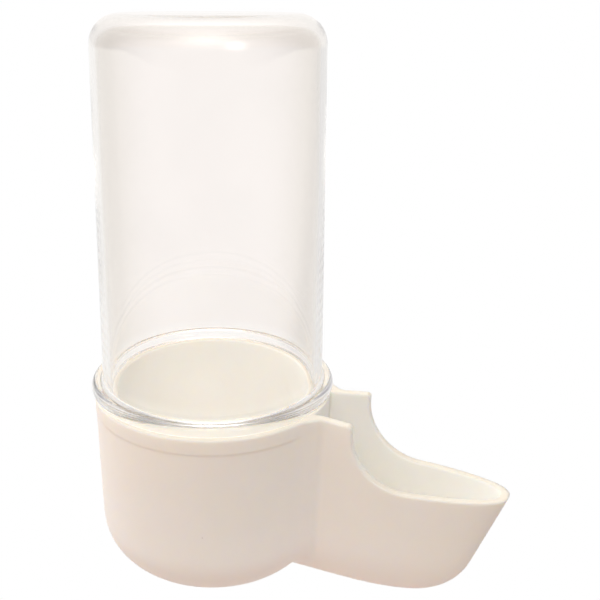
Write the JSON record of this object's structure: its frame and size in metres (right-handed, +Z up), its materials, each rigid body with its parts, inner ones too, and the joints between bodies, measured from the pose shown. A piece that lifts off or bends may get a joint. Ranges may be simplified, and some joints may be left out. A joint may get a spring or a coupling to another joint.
{
  "type": "bird water drinker",
  "caption": "Cage bird drinker: a clear flanged reservoir tube plugs into a white moulded cup whose low wall slot feeds a raked drinking spout.",
  "frame": {"origin": "on the cup's axis, at the flat underside of the base", "axes": "+Z up along the reservoir tube, +X out along the drinking spout, +Y across the spout"},
  "size_m": [0.0952, 0.055, 0.1237],
  "materials": {
    "base_plastic": "satin moulded warm white polystyrene",
    "clear_plastic": "polished clear polystyrene, slightly yellowed by age"
  },
  "bodies": {
    "base": {"drinker_base": "base_plastic"},
    "reservoir": {"reservoir_tube": "clear_plastic"}
  },
  "joints": [
    {"name": "reservoir_lift", "type": "slide", "parent": "base", "child": "reservoir", "axis": [0, 0, 1], "range_m": [0, 0.03]}
  ]
}
